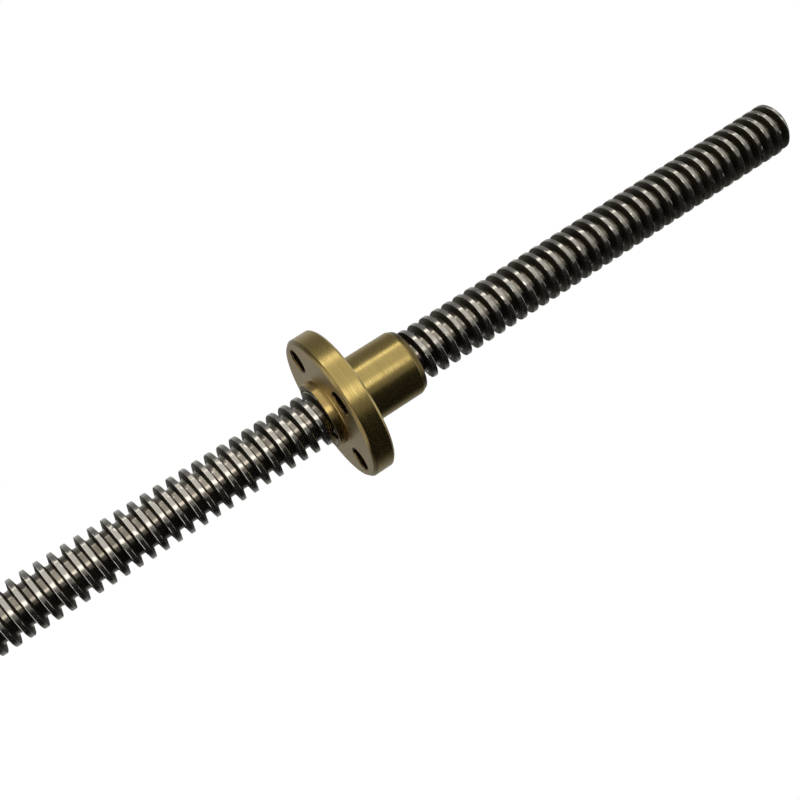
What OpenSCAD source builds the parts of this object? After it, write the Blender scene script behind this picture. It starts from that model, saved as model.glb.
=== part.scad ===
// Square stepper motor whose shaft is a long trapezoidal lead screw, with a
// flanged brass nut that travels along the screw.
// +Z runs along the screw, away from the motor. The origin is the centre of
// the motor's mounting face, and the motor stands on its rear face.

/* [Motor body] */
// Width of the square motor across the flats
motor_w = 42.3; // [42:0.1:43]
// Length from the mounting face to the rear face
motor_len = 40; // [40:1:60]
// Length of the cast front end bell
front_bell_len = 10; // [10:0.5:12]
// Length of the cast rear end bell
rear_bell_len = 11; // [11:0.5:13]
// Cut on each long corner, measured along a side
corner_cut = 4.4; // [3:0.1:5]
// Diameter of the raised pilot on the mounting face
pilot_d = 22; // [21:0.5:23]
// Height of the pilot above the mounting face
pilot_h = 2; // [1.5:0.1:2.5]
// Spacing of the mounting holes along each side
bolt_spacing = 31; // [30.5:0.1:31.5]
// Thread diameter of the mounting holes and long screws
bolt_d = 3; // [2.5:0.1:3]
// Depth of the tapped mounting holes
tap_depth = 4.5; // [3:0.1:4.6]

/* [Lead screw] */
// Length of the screw beyond the mounting face
screw_len = 200; // [150:1:400]
// Outside diameter of the thread
screw_d = 8; // [8:1:8]
// Distance from one thread crest to the next
pitch = 2; // [2:0.5:2]
// Radial depth of the thread
thread_depth = 1.25; // [0.9:0.05:1.25]
// Width of the flat on top of each crest
crest_w = 0.73; // [0.5:0.01:0.9]
// Height where the thread starts above the mounting face
thread_start = 4; // [3:0.5:8]
// Diameter of the plain journal inside the motor
journal_d = 5; // [5:1:5]

/* [Lead nut] */
// Height of the motor side of the flange at rest
nut_z = 116.5; // [10:0.5:180]
// Diameter of the nut's flange
nut_flange_d = 22; // [20:0.5:25]
// Thickness of the nut's flange
nut_flange_t = 3.5; // [3:0.1:4]
// Diameter of the long body and the short collar
nut_body_d = 10; // [9.8:0.1:10.2]
// Length of the body beyond the flange
nut_body_len = 10; // [8:0.5:12]
// Length of the collar on the motor side of the flange
nut_collar_len = 1.5; // [1:0.1:3]
// Diameter of the circle through the four flange holes
nut_pcd = 16; // [15:0.5:17]
// Diameter of the four flange holes
nut_hole_d = 3.5; // [3:0.1:3.6]

/* [Ball bearings] */
// Outside diameter of both ball bearings
bearing_od = 16; // [16:1:16]
// Width of both ball bearings
bearing_w = 5; // [5:1:5]
// Diameter of the balls
ball_d = 2.8; // [2.6:0.1:3]
// Diameter of the circle through the ball centres
ball_pcd = 10.5; // [10.3:0.1:10.7]
// Number of balls in one bearing
ball_count = 7; // [6:1:7]

/* [Magnetic parts] */
// Bore of the stator between its teeth
stator_bore_d = 22.1; // [22.1:0.1:23]
// Diameter of the rotor over its teeth
rotor_d = 21.8; // [21.5:0.1:21.8]
// Number of teeth on each rotor half
rotor_teeth = 50; // [50:1:50]
// Number of wound poles
pole_count = 8; // [8:8:8]
// Number of small teeth on each pole
pole_teeth = 6; // [5:1:6]
// Width of a pole behind its teeth
pole_w = 4.4; // [4:0.1:4.8]

/* [Hidden] */
$fn = 64;
eps = 0.01;

half_w = motor_w / 2;
bolt_at = bolt_spacing / 2;
core_top = -front_bell_len;
core_bottom = -motor_len + rear_bell_len;
core_len = core_top - core_bottom;
core_mid = (core_top + core_bottom) / 2;
core_inset = 0.15;

cavity_r = 18.3;
face_plate = 5.2;
rear_wall = 2;
web = 0.5;
bolt_hole_r = bolt_d / 2 + 0.2;
bolt_shank_r = bolt_d / 2 - 0.05;
bolt_head_r = 2.75;
bolt_head_h = 2;
head_seat_z = -motor_len + 2.2;
cross_w = 0.7;
cross_len = 3;

bearing_r = bearing_od / 2;
front_bearing_top = 0.5;
front_bearing_mid = front_bearing_top - bearing_w / 2;
seat_floor_z = -motor_len + 1.4;
washer_space = 0.8;
rear_bearing_bottom = seat_floor_z + washer_space;
rear_bearing_mid = rear_bearing_bottom + bearing_w / 2;
boss_r = 9.8;
screw_opening_r = 5.5;
rear_opening_r = 3.6;

ball_r = ball_d / 2;
ball_ring_r = ball_pcd / 2;
race_gap = 0.05;
outer_land_r = 6.3;
inner_land_r = 4.2;
shield_t = 0.25;
shield_seat_r = 6.6;
shield_in = 0.2;
cage_inner_r = 4.55;
cage_outer_r = 5.95;
cage_low = -0.6;
cage_high = 1.8;
cage_gap = 0.06;

yoke_in_r = 18.2;
shoe_r = 13;
shoe_half_angle = 19.4;
tooth_pitch = 7.2;
tooth_gap_w = 0.68;
tooth_depth = 0.6;
rotor_root_r = rotor_d / 2 - 0.7;
rotor_tooth_top = 0.6;
rotor_tooth_root = 0.72;

plate_t = 0.6;
bobbin_out_r = 18;
bobbin_wall_in_r = 17;
bobbin_shoe_in_r = 11.6;
bobbin_shoe_out_r = 13.4;
bobbin_half_angle = 17;
bobbin_wall_h = 2.8;
liner_t = 0.4;
coil_in_r = 13.5;
coil_out_r = 16.3;
coil_gap = 0.05;
coil_in_w = pole_w / 2 + liner_t + coil_gap;
coil_out_w = 4.5;
coil_in_h = core_len / 2 + plate_t + coil_gap;
coil_out_h = core_len / 2 + 2.5;
coil_corner_r = 1.5;

board_top = core_bottom - bobbin_wall_h;
board_t = 0.8;
board_bottom = board_top - board_t;
board_in_r = 10.4;
board_out_r = 17.9;
post_r = 0.3;
post_at_r = 17.5;
post_grip = 1.2;
post_out = 0.6;

rotor_len = 18;
magnet_t = 1.6;
magnet_r = 9.5;
cup_len = (rotor_len - magnet_t) / 2;
rotor_top = core_mid + rotor_len / 2;
rotor_bottom = core_mid - rotor_len / 2;
journal_r = journal_d / 2;
spacer_r = 4;
journal_end = -motor_len + 1.8;
shoulder_r = 3.7;
shoulder_top = 1.5;

plug_half_w = 8;
plug_out_y = -21.5;
plug_in_y = -15.6;
plug_bottom = -motor_len + 2.6;
plug_lip_y = [-21.1, -19.3];
notch_gap = 0.15;
socket_half_w = 6.9;
socket_floor_y = -17;
socket_z = [plug_bottom + 1, board_bottom - 1.1];
pin_count = 6;
pin_pitch = 2;
pin_w = 0.5;
pin_gap = 0.02;
pin_z = (socket_z[0] + socket_z[1]) / 2;
pin_out_y = -20.5;
pin_bend_y = -14.7;
pin_top = board_top + 0.1;

label_w = 24;
label_h = 13;
label_t = 0.1;

nut_bore_r = screw_d / 2 + 0.08;
nut_rim_chamfer = 0.45;
nut_end_chamfer = 0.9;
nut_mouth = 0.6;
screw_r = screw_d / 2;
root_r = screw_r - thread_depth;
groove_top_w = pitch - crest_w;
groove_root_w = groove_top_w - 2 * thread_depth * tan(15);
groove_count = floor((screw_len - thread_start) / pitch);
screw_end_chamfer = 0.3;

// ---------- shared shapes ----------

// Square with its corners cut, drawn smaller by the inset.
module body_outline(inset) {
  h = half_w - inset;
  c = h - corner_cut;
  polygon([[h, -c], [h, c], [c, h], [-c, h], [-h, c], [-h, -c], [-c, -h], [c, -h]]);
}

// Children repeated at the four corner screw positions.
module at_corners() {
  for (x = [-bolt_at, bolt_at], y = [-bolt_at, bolt_at]) {
    translate([x, y, 0]) children();
  }
}

// Children repeated between neighbouring poles, where the coil ends leave.
module at_posts() {
  for (i = [0 : 3]) {
    rotate([0, 0, 22.5 + 45 * i]) translate([post_at_r, 0, 0]) children();
  }
}

// Upright tube from z0 to z1.
module tube(r_in, r_out, z0, z1) {
  rotate_extrude() {
    translate([r_in, z0]) square([r_out - r_in, z1 - z0]);
  }
}

// Wedge of the given half angle about +X, reaching out to radius r.
module wedge(half_angle, r) {
  polygon([
    [0, 0],
    [r, -r * tan(half_angle)],
    [r, r * tan(half_angle)]
  ]);
}

// Part of a flat ring, half_angle each side of +X.
module ring_sector(r_in, r_out, half_angle) {
  intersection() {
    difference() {
      circle(r = r_out);
      circle(r = r_in);
    }
    wedge(half_angle, 2 * r_out);
  }
}

// Rectangle with round corners, centred, given by its half sizes.
module round_rect(half_x, half_y, r) {
  square([2 * half_x, 2 * (half_y - r)], center = true);
  square([2 * (half_x - r), 2 * half_y], center = true);
  for (x = [-1, 1], y = [-1, 1]) {
    translate([x * (half_x - r), y * (half_y - r)]) circle(r = r);
  }
}

// ---------- motor shell ----------

module front_end_bell() {
  color("silver")
  difference() {
    union() {
      translate([0, 0, -front_bell_len]) linear_extrude(front_bell_len) body_outline(0);
      cylinder(r = pilot_d / 2, h = pilot_h);
    }
    translate([0, 0, -front_bell_len - 1])
      cylinder(r = cavity_r, h = front_bell_len - face_plate + 1);
    translate([0, 0, -front_bell_len])
      cylinder(r = bearing_r, h = front_bell_len + front_bearing_top);
    cylinder(r = screw_opening_r, h = pilot_h + 1);
    at_corners() {
      translate([0, 0, -tap_depth]) cylinder(r = bolt_d / 2, h = tap_depth + 1);
      translate([0, 0, -front_bell_len - 1])
        cylinder(r = bolt_hole_r, h = front_bell_len + 1 - tap_depth - web);
    }
  }
}

module rear_end_bell() {
  color("silver")
  difference() {
    union() {
      difference() {
        translate([0, 0, -motor_len]) linear_extrude(rear_bell_len) body_outline(0);
        translate([0, 0, -motor_len + rear_wall]) cylinder(r = cavity_r, h = rear_bell_len);
      }
      translate([0, 0, -motor_len + rear_wall / 2])
        cylinder(r = boss_r, h = rear_bearing_bottom + bearing_w + motor_len - rear_wall / 2);
    }
    translate([0, 0, seat_floor_z]) cylinder(r = bearing_r, h = rear_bell_len);
    translate([0, 0, -motor_len - 1]) cylinder(r = rear_opening_r, h = rear_wall + 1);
    translate([-plug_half_w - notch_gap, -half_w - 1, plug_bottom - notch_gap])
      cube([
        2 * (plug_half_w + notch_gap),
        half_w + 1 + plug_in_y,
        core_bottom - plug_bottom + 1
      ]);
    at_corners() {
      translate([0, 0, -motor_len - 1]) cylinder(r = bolt_hole_r, h = rear_bell_len + 2);
      translate([0, 0, -motor_len - 1])
        cylinder(r = bolt_head_r + 0.2, h = head_seat_z + motor_len + 1);
    }
  }
}

module motor_bolts() {
  color("gray")
  at_corners() {
    difference() {
      union() {
        translate([0, 0, head_seat_z - bolt_head_h]) cylinder(r = bolt_head_r, h = bolt_head_h);
        translate([0, 0, head_seat_z - eps])
          cylinder(r = bolt_shank_r, h = -tap_depth - web - 0.4 - head_seat_z);
      }
      for (a = [0, 90]) {
        rotate([0, 0, a])
          translate([-cross_len / 2, -cross_w / 2, head_seat_z - bolt_head_h - 1])
            cube([cross_len, cross_w, 2.2]);
      }
    }
  }
}

module rating_label() {
  color("lightgray")
  translate([half_w - core_inset, -label_w / 2, core_mid - label_h / 2])
    cube([label_t, label_w, label_h]);
}

// ---------- stator ----------

module pole_section() {
  difference() {
    union() {
      translate([shoe_r - 0.6, -pole_w / 2]) square([yoke_in_r - shoe_r + 1, pole_w]);
      ring_sector(stator_bore_d / 2, shoe_r, shoe_half_angle);
    }
    for (i = [1 : pole_teeth - 1]) {
      rotate((i - pole_teeth / 2) * tooth_pitch)
        translate([stator_bore_d / 2 - 1, -tooth_gap_w / 2])
          square([1 + tooth_depth, tooth_gap_w]);
    }
  }
}

module stator_core() {
  color("dimgray")
  translate([0, 0, core_bottom])
  linear_extrude(core_len) {
    difference() {
      body_outline(core_inset);
      circle(r = yoke_in_r);
      at_corners() circle(r = bolt_hole_r);
    }
    for (i = [0 : pole_count - 1]) {
      rotate(i * 360 / pole_count) pole_section();
    }
  }
}

// One end of the pole insulation. The core's end face is at z = 0 and the
// slot liners reach down to the middle of the core.
module bobbin() {
  linear_extrude(plate_t) {
    difference() {
      circle(r = bobbin_out_r);
      circle(r = bobbin_wall_in_r);
    }
    for (i = [0 : pole_count - 1]) {
      rotate(i * 360 / pole_count) {
        ring_sector(bobbin_shoe_in_r, bobbin_shoe_out_r, bobbin_half_angle);
        translate([bobbin_shoe_out_r - 0.3, -pole_w / 2 - liner_t])
          square([bobbin_wall_in_r - bobbin_shoe_out_r + 0.6, pole_w + 2 * liner_t]);
      }
    }
  }
  difference() {
    tube(bobbin_wall_in_r, bobbin_out_r, 0, bobbin_wall_h);
    at_posts() {
      translate([0, 0, bobbin_wall_h - post_grip]) cylinder(r = post_r, h = post_grip + 1);
    }
  }
  linear_extrude(bobbin_wall_h) {
    for (i = [0 : pole_count - 1]) {
      rotate(i * 360 / pole_count)
        ring_sector(bobbin_shoe_out_r - 0.5, bobbin_shoe_out_r, bobbin_half_angle);
    }
  }
  for (i = [0 : pole_count - 1], side = [-1, 1]) {
    rotate([0, 0, i * 360 / pole_count])
      translate([
        bobbin_shoe_out_r - 0.2,
        side * (pole_w + liner_t) / 2 - liner_t / 2,
        -core_len / 2 + coil_gap
      ])
        cube([
          bobbin_wall_in_r - bobbin_shoe_out_r + 0.1,
          liner_t,
          core_len / 2 - coil_gap + eps
        ]);
  }
}

module front_bobbin() {
  color("ivory")
  translate([0, 0, core_top]) bobbin();
}

module rear_bobbin() {
  color("ivory")
  translate([0, 0, core_bottom]) mirror([0, 0, 1]) bobbin();
}

// Coil on the pole at the given angle.
module coil(angle) {
  rotate([0, 0, angle])
  translate([coil_in_r, 0, core_mid])
  rotate([90, 0, 90])
  linear_extrude(coil_out_r - coil_in_r) {
    difference() {
      round_rect(coil_out_w, coil_out_h, coil_corner_r);
      square([2 * coil_in_w, 2 * coil_in_h], center = true);
    }
  }
}

module phase_a_coils() {
  color("chocolate")
  for (i = [0 : 3]) {
    coil(90 * i);
  }
}

module phase_b_coils() {
  color("peru")
  for (i = [0 : 3]) {
    coil(45 + 90 * i);
  }
}

module winding_terminals() {
  color("goldenrod")
  at_posts() {
    translate([0, 0, board_bottom - post_out])
      cylinder(r = post_r, h = post_out + board_t + post_grip);
  }
}

module terminal_board() {
  color("darkgreen")
  difference() {
    tube(board_in_r, board_out_r, board_bottom, board_top);
    at_posts() {
      translate([0, 0, board_bottom - 1]) cylinder(r = post_r, h = board_t + 2);
    }
    pin_row(pin_gap);
  }
}

// ---------- connector ----------

// Bent contacts of the socket, grown by the gap on every side.
module pin_row(gap) {
  w = pin_w + 2 * gap;
  for (i = [0 : pin_count - 1]) {
    translate([(i - (pin_count - 1) / 2) * pin_pitch - w / 2, 0, 0]) {
      translate([0, pin_out_y - gap, pin_z - w / 2])
        cube([w, pin_bend_y - pin_out_y + 2 * gap, w]);
      translate([0, pin_bend_y + gap - w, pin_z - w / 2])
        cube([w, w, pin_top - pin_z + w / 2]);
    }
  }
}

module connector_housing() {
  color("white")
  difference() {
    union() {
      translate([-plug_half_w, plug_out_y, plug_bottom])
        cube([2 * plug_half_w, plug_in_y - plug_out_y, board_bottom - plug_bottom]);
      translate([-plug_half_w, plug_lip_y[0], board_bottom - 1])
        cube([
          2 * plug_half_w,
          plug_lip_y[1] - plug_lip_y[0],
          core_bottom - notch_gap - board_bottom + 1
        ]);
    }
    translate([-socket_half_w, plug_out_y - 1, socket_z[0]])
      cube([2 * socket_half_w, socket_floor_y - plug_out_y + 1, socket_z[1] - socket_z[0]]);
    pin_row(pin_gap);
  }
}

module connector_pins() {
  color("gold")
  pin_row(0);
}

// ---------- bearings, each drawn about its own middle ----------

module bearing_outer() {
  color("lightsteelblue")
  rotate_extrude() {
    difference() {
      translate([outer_land_r, -bearing_w / 2]) square([bearing_r - outer_land_r, bearing_w]);
      translate([ball_ring_r, 0]) circle(r = ball_r + race_gap);
      for (s = [-1, 1]) {
        translate([outer_land_r - 1, s * (bearing_w / 2 - shield_in) - (s > 0 ? shield_t : 0)])
          square([shield_seat_r - outer_land_r + 1, shield_t]);
      }
    }
  }
}

module bearing_inner() {
  color("lightsteelblue")
  rotate_extrude() {
    difference() {
      translate([journal_r, -bearing_w / 2]) square([inner_land_r - journal_r, bearing_w]);
      translate([ball_ring_r, 0]) circle(r = ball_r + race_gap);
    }
  }
}

module bearing_balls() {
  color("gainsboro")
  for (i = [0 : ball_count - 1]) {
    rotate([0, 0, i * 360 / ball_count]) translate([ball_ring_r, 0, 0]) sphere(r = ball_r);
  }
}

module bearing_cage() {
  color("saddlebrown")
  difference() {
    tube(cage_inner_r, cage_outer_r, cage_low, cage_high);
    for (i = [0 : ball_count - 1]) {
      rotate([0, 0, i * 360 / ball_count])
        translate([ball_ring_r, 0, 0]) sphere(r = ball_r + cage_gap);
    }
  }
}

module bearing_shields() {
  color("gray")
  for (s = [-1, 1]) {
    z = s * (bearing_w / 2 - shield_in) - (s > 0 ? shield_t : 0);
    tube(inner_land_r + 0.2, shield_seat_r, z, z + shield_t);
  }
}

module front_bearing_outer() {
  translate([0, 0, front_bearing_mid]) bearing_outer();
}

module front_bearing_inner() {
  translate([0, 0, front_bearing_mid]) bearing_inner();
}

module front_bearing_balls() {
  translate([0, 0, front_bearing_mid]) bearing_balls();
}

module front_bearing_cage() {
  translate([0, 0, front_bearing_mid]) bearing_cage();
}

module front_bearing_shields() {
  translate([0, 0, front_bearing_mid]) bearing_shields();
}

module rear_bearing_outer() {
  translate([0, 0, rear_bearing_mid]) bearing_outer();
}

module rear_bearing_inner() {
  translate([0, 0, rear_bearing_mid]) bearing_inner();
}

module rear_bearing_balls() {
  translate([0, 0, rear_bearing_mid]) bearing_balls();
}

module rear_bearing_cage() {
  translate([0, 0, rear_bearing_mid]) bearing_cage();
}

module rear_bearing_shields() {
  translate([0, 0, rear_bearing_mid]) bearing_shields();
}

// Thin ring with three waves that presses on the rear bearing's outer ring.
module wave_washer() {
  steps = 48;
  r_in = 6.5;
  r_out = 7.8;
  t = 0.3;
  wave = 0.2;
  mid = seat_floor_z + washer_space / 2;
  ring = [for (i = [0 : steps - 1]) i * 360 / steps];
  function height(a) = mid + wave * cos(3 * a);
  points = [
    for (a = ring) each [
      [r_in * cos(a), r_in * sin(a), height(a) - t / 2],
      [r_out * cos(a), r_out * sin(a), height(a) - t / 2],
      [r_out * cos(a), r_out * sin(a), height(a) + t / 2],
      [r_in * cos(a), r_in * sin(a), height(a) + t / 2]
    ]
  ];
  faces = [
    for (i = [0 : steps - 1], k = [0 : 3])
      let (
        a = 4 * i + k,
        b = 4 * i + (k + 1) % 4,
        c = 4 * ((i + 1) % steps) + (k + 1) % 4,
        d = 4 * ((i + 1) % steps) + k
      )
      each [[a, b, c], [a, c, d]]
  ];
  color("darkgray")
  polyhedron(points = points, faces = faces);
}

// ---------- turning parts ----------

// Toothed disc outline, turned by the given angle.
module rotor_section(turn) {
  step = 360 / rotor_teeth;
  root_a = rotor_tooth_root / 2 / rotor_root_r * 180 / PI;
  top_a = rotor_tooth_top / 2 / (rotor_d / 2) * 180 / PI;
  polygon([
    for (i = [0 : rotor_teeth - 1])
      for (corner = [[rotor_root_r, -root_a], [rotor_d / 2, -top_a],
                     [rotor_d / 2, top_a], [rotor_root_r, root_a]])
        let (a = turn + i * step + corner[1])
        [corner[0] * cos(a), corner[0] * sin(a)]
  ]);
}

// One toothed rotor half with a shallow recess in its outer end.
module rotor_cup(turn, recess_z, recess_h) {
  difference() {
    linear_extrude(cup_len) rotor_section(turn);
    translate([0, 0, -1]) cylinder(r = journal_r, h = cup_len + 2);
    tube(spacer_r + 1.5, rotor_root_r - 1.6, recess_z, recess_z + recess_h);
  }
}

module rotor_cup_front() {
  color("slategray")
  translate([0, 0, rotor_top - cup_len]) rotor_cup(0, cup_len - 1.5, 3);
}

module rotor_cup_rear() {
  color("slategray")
  translate([0, 0, rotor_bottom]) rotor_cup(180 / rotor_teeth, -1.5, 3);
}

module rotor_magnet() {
  color("darkslategray")
  tube(journal_r, magnet_r, core_mid - magnet_t / 2, core_mid + magnet_t / 2);
}

module front_spacer() {
  color("lightgray")
  tube(journal_r, spacer_r, rotor_top, front_bearing_top - bearing_w);
}

module rear_spacer() {
  color("lightgray")
  tube(journal_r, spacer_r, rear_bearing_bottom + bearing_w, rotor_bottom);
}

// Profile points of one thread groove.
function groove(i) =
  let (mid = thread_start + pitch * (i + 0.5))
  [
    [screw_r, mid - groove_top_w / 2],
    [root_r, mid - groove_root_w / 2],
    [root_r, mid + groove_root_w / 2],
    [screw_r, mid + groove_top_w / 2]
  ];

// Screw and motor shaft in one piece. The thread is drawn as even grooves.
module lead_screw() {
  color("dimgray")
  rotate_extrude() {
    polygon(concat(
      [
        [0, journal_end],
        [journal_r - 0.3, journal_end],
        [journal_r, journal_end + 0.3],
        [journal_r, front_bearing_top],
        [shoulder_r, front_bearing_top],
        [shoulder_r, shoulder_top],
        [screw_r, shoulder_top + 0.3]
      ],
      [for (i = [0 : groove_count - 1]) each groove(i)],
      [
        [screw_r, screw_len - screw_end_chamfer],
        [screw_r - screw_end_chamfer, screw_len],
        [0, screw_len]
      ]
    ));
  }
}

module lead_nut() {
  body_r = nut_body_d / 2;
  rim_r = nut_flange_d / 2;
  top = nut_flange_t + nut_body_len;
  color("darkkhaki")
  translate([0, 0, nut_z])
  difference() {
    rotate_extrude() {
      polygon([
        [nut_bore_r, -nut_collar_len + nut_mouth],
        [nut_bore_r + nut_mouth, -nut_collar_len],
        [body_r, -nut_collar_len],
        [body_r, 0],
        [rim_r - nut_rim_chamfer, 0],
        [rim_r, nut_rim_chamfer],
        [rim_r, nut_flange_t - nut_rim_chamfer],
        [rim_r - nut_rim_chamfer, nut_flange_t],
        [body_r, nut_flange_t],
        [body_r, top - nut_end_chamfer],
        [body_r - nut_end_chamfer / 2, top],
        [nut_bore_r + nut_mouth / 2, top],
        [nut_bore_r, top - nut_mouth / 2]
      ]);
    }
    for (i = [0 : 3]) {
      rotate([0, 0, 90 * i])
        translate([nut_pcd / 2, 0, -1]) cylinder(r = nut_hole_d / 2, h = nut_flange_t + 2);
    }
  }
}

front_end_bell();
rear_end_bell();
stator_core();
front_bobbin();
rear_bobbin();
phase_a_coils();
phase_b_coils();
winding_terminals();
terminal_board();
connector_housing();
connector_pins();
motor_bolts();
rating_label();
wave_washer();
front_bearing_outer();
front_bearing_inner();
front_bearing_balls();
front_bearing_cage();
front_bearing_shields();
rear_bearing_outer();
rear_bearing_inner();
rear_bearing_balls();
rear_bearing_cage();
rear_bearing_shields();
rotor_cup_front();
rotor_cup_rear();
rotor_magnet();
front_spacer();
rear_spacer();
lead_screw();
lead_nut();
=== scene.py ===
"""Looks of a square stepper motor with a threaded screw for a shaft and a flanged brass nut on it.

Lengths are in millimetres until a mesh is made. The frame's origin is the centre of the motor's
mounting face and +Z runs along the screw.
"""
import math
import random

import bmesh
import bpy
from mathutils import Matrix, Vector
from mathutils.geometry import tessellate_polygon

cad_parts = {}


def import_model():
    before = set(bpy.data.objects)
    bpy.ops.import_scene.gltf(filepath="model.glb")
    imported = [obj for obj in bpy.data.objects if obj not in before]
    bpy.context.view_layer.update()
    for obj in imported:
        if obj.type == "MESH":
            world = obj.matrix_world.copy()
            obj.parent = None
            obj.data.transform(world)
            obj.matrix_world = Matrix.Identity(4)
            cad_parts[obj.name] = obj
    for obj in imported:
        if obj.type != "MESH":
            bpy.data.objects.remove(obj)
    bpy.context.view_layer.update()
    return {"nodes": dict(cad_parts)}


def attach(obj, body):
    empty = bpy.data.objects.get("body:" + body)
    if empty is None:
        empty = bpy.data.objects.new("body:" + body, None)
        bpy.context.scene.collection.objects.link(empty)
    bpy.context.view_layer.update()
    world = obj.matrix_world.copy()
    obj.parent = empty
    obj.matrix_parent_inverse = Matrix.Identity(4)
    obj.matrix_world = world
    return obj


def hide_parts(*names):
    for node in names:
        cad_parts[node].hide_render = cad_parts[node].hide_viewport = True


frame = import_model()

MM = 0.001
TAU = 2 * math.pi

# ---------------------------------------------------------------- sizes
# motor: outline, heights where its parts meet, bearing seats and corner holes
HALF_W, CORNER_CUT, CORNER_ROUND = 21.15, 4.4, 0.5
CORNER_FLAT = (2 * HALF_W - CORNER_CUT) / math.sqrt(2)
FACE_Z, FRONT_BELL_Z, REAR_BELL_Z, REAR_FACE_Z = 0.0, -10.0, -29.0, -40.0
PILOT_R, PILOT_H = 11.0, 2.0
CAVITY_R, SEAT_R, BOSS_R = 18.3, 8.0, 9.8
SCREW_OPENING_R, REAR_OPENING_R = 5.5, 3.6
BOLT_AT, BOLT_HOLE_R, TAP_R, BOLT_R = 15.5, 1.7, 1.5, 1.45
HEAD_R, HEAD_SEAT_Z, COUNTERBORE_R = 2.75, -37.8, 2.95
SHEETS, SHEET_INSET = 38, 0.15
POLES, TEETH, TOOTH_PITCH = 8, 6, 7.2
LABEL_MIDDLE_Z = -19.5

# screw: thread, free end, and the plain shaft inside the motor
SCREW_R, ROOT_R, PITCH = 4.0, 2.75, 2.0
CREST_HALF, ROOT_HALF = 0.335, 0.385
SCREW_END, THREAD_START, RUN_OUT = 200.0, 3.0, 1.8
THREAD_PHASE = 0.14
SHAFT_END, JOURNAL_R, JOURNAL_TOP, SHOULDER_R = -38.2, 2.5, 0.5, 3.7

# nut: NUT_Z is the flange's face on the motor's side
NUT_Z, COLLAR_LEN = 116.5, 1.5
FLANGE_R, FLANGE_T = 11.0, 3.5
NUT_BODY_R, NUT_BODY_LEN = 5.0, 10.0
FLANGE_HOLES, FLANGE_HOLE_R, FLANGE_HOLE_AT = 4, 1.75, 8.0

SCREW_SEGMENTS, NUT_SEGMENTS, MOTOR_SEGMENTS, HOLE_SEGMENTS = 78, 144, 128, 48
SMOOTH_ANGLE, THREAD_ANGLE = 32, 28
PAST = 1.0  # how far a cutter stands past the face that it cuts


# ---------------------------------------------------------------- mesh helpers
def mesh_object(name, verts, faces, sharp=SMOOTH_ANGLE):
    """A smooth-shaded object from points in millimetres. Edges over the sharp angle stay hard."""
    mesh = bpy.data.meshes.new(name)
    mesh.from_pydata([(x * MM, y * MM, z * MM) for x, y, z in verts], [], faces)
    clean(mesh)
    obj = bpy.data.objects.new(name, mesh)
    bpy.context.scene.collection.objects.link(obj)
    soften(obj, sharp)
    return obj


def clean(mesh):
    """Merges points in one place, drops faces with no area and turns the normals outward."""
    bm = bmesh.new()
    bm.from_mesh(mesh)
    bmesh.ops.remove_doubles(bm, verts=bm.verts, dist=1e-7)
    bmesh.ops.dissolve_degenerate(bm, edges=bm.edges, dist=1e-8)
    bmesh.ops.recalc_face_normals(bm, faces=bm.faces)
    bm.to_mesh(mesh)
    bm.free()


def soften(obj, sharp=SMOOTH_ANGLE):
    """Smooth shading, with the edges over the sharp angle in degrees left hard."""
    obj.data.shade_smooth()
    obj.data.set_sharp_from_angle(angle=math.radians(sharp))


def flatten(obj):
    """Shades flat faces as flat where small edge roundings meet them."""
    level, big = 0.9999, 5 * MM * MM
    mod = obj.modifiers.new("weighted", "WEIGHTED_NORMAL")
    mod.mode, mod.weight, mod.keep_sharp = "FACE_AREA", 100, True
    mesh = applied(obj).data
    normals = [corner.vector.copy() for corner in mesh.corner_normals]
    for face in mesh.polygons:
        if abs(face.normal.z) > level or face.area > big:
            for corner in face.loop_indices:
                normals[corner] = face.normal.copy()
    mesh.normals_split_custom_set(normals)
    return obj


def applied(obj):
    """Replaces the object's mesh with what its modifiers make of it."""
    deps = bpy.context.evaluated_depsgraph_get()
    mesh = bpy.data.meshes.new_from_object(obj.evaluated_get(deps))
    obj.modifiers.clear()
    old, obj.data = obj.data, mesh
    bpy.data.meshes.remove(old)
    return obj


def boolean(obj, other, operation="DIFFERENCE"):
    """Cuts the other object away, or joins it on, and removes it."""
    mod = obj.modifiers.new("boolean", "BOOLEAN")
    mod.object, mod.operation, mod.solver = other, operation, "EXACT"
    applied(obj)
    bpy.data.objects.remove(other)
    return obj


def bevel(obj, width):
    """Rounds every edge that turns by more than 35 degrees."""
    mod = obj.modifiers.new("bevel", "BEVEL")
    mod.width, mod.segments = width * MM, 2
    mod.limit_method, mod.angle_limit = "ANGLE", math.radians(35)
    mod.use_clamp_overlap = True
    return applied(obj)


def revolve(profile, segments, closed=True):
    """Points and faces of an outline of (radius, height) points turned about Z."""
    verts, rings = [], []
    for r, z in profile:
        if r < 1e-6:
            verts.append((0.0, 0.0, z))
            rings.append([len(verts) - 1] * segments)
            continue
        start = len(verts)
        for s in range(segments):
            a = TAU * s / segments
            verts.append((r * math.cos(a), r * math.sin(a), z))
        rings.append(list(range(start, start + segments)))
    faces = []
    for low, high in zip(rings, rings[1:] + rings[:1] if closed else rings[1:]):
        for s in range(segments):
            t = (s + 1) % segments
            face = []
            for v in (low[s], low[t], high[t], high[s]):
                if v not in face:
                    face.append(v)
            if len(face) > 2:
                faces.append(face)
    return verts, faces


def lathe(name, profile, segments=MOTOR_SEGMENTS, at=(0.0, 0.0)):
    """Solid of revolution round an upright axis at a place."""
    verts, faces = revolve(profile, segments)
    return mesh_object(name, [(x + at[0], y + at[1], z) for x, y, z in verts], faces)


def arc(cx, cy, r, a0, a1, n):
    """Points on a circle from angle a0 to a1 in degrees, both ends included."""
    angles = [math.radians(a0 + i * (a1 - a0) / n) for i in range(n + 1)]
    return [(cx + r * math.cos(a), cy + r * math.sin(a)) for a in angles]


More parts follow.
